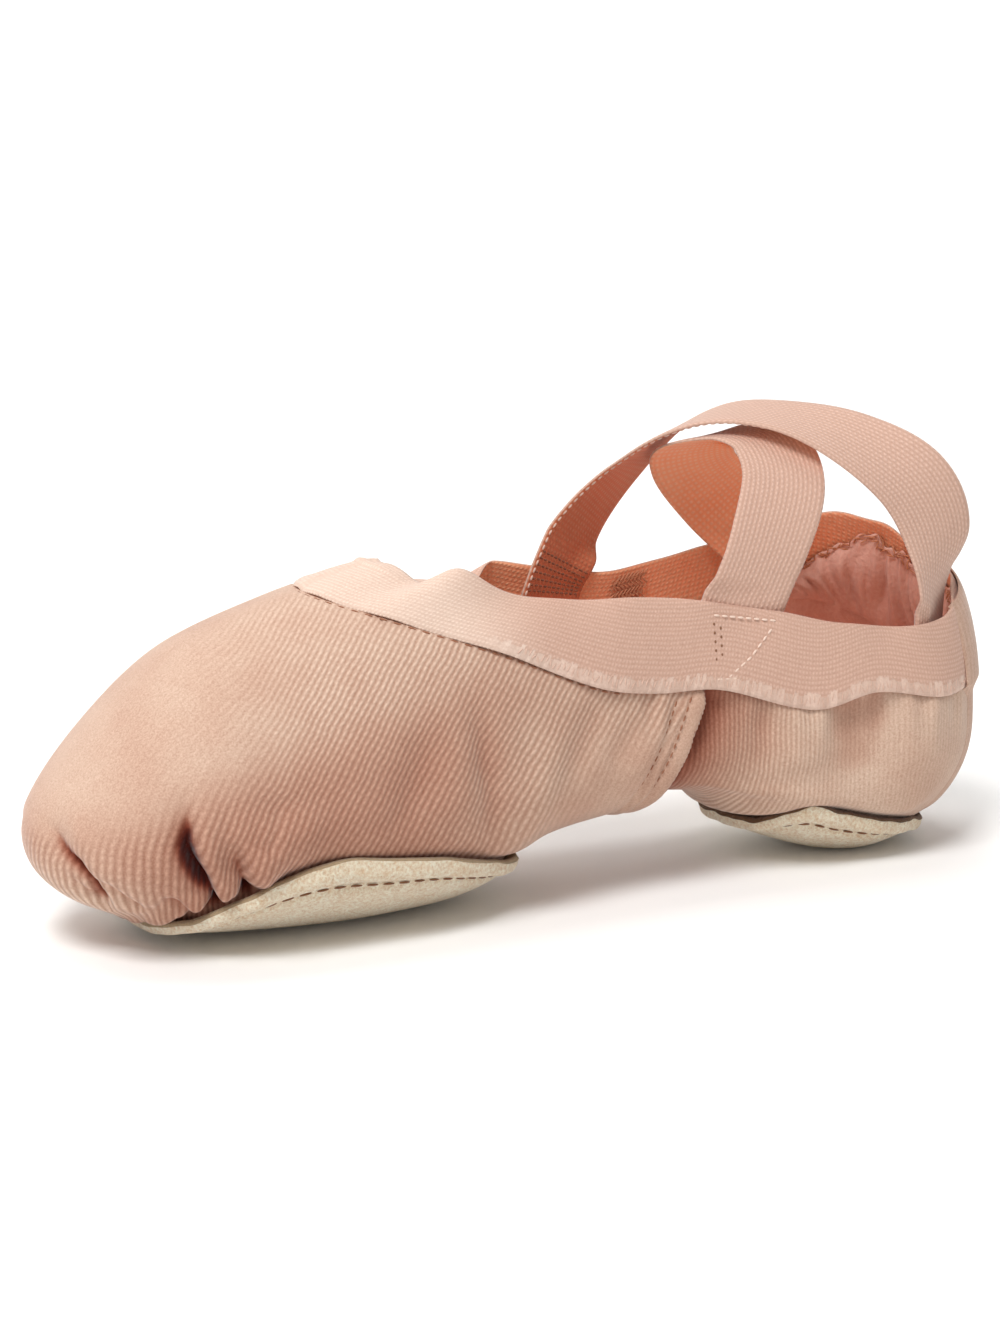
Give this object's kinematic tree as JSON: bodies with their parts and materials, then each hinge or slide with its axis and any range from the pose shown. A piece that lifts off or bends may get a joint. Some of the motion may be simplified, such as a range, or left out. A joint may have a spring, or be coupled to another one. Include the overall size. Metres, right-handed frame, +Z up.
{
  "type": "split-sole ballet slipper",
  "caption": "Soft canvas ballet slipper with a hollow upper, an elastic collar, crossed elastic instep straps and separate suede pads under the forefoot and the heel.",
  "frame": {"origin": "middle of the bounding box at floor level", "axes": "+X from the toe to the heel, +Z up, -Y the side nearest the picture's camera"},
  "size_m": [0.2364, 0.0726, 0.107],
  "materials": {
    "canvas": "matt stretch canvas with a fine diagonal rib",
    "elastic": "matt woven elastic",
    "suede": "brushed suede",
    "lining": "matt cotton lining"
  },
  "bodies": {
    "root": {"upper": "canvas", "forefoot_sole": "suede", "heel_sole": "suede", "forefoot_insole": "lining", "heel_insole": "lining", "collar_band": "elastic", "back_strip": "canvas", "strap_under": "elastic", "strap_over": "elastic"}
  },
  "joints": []
}
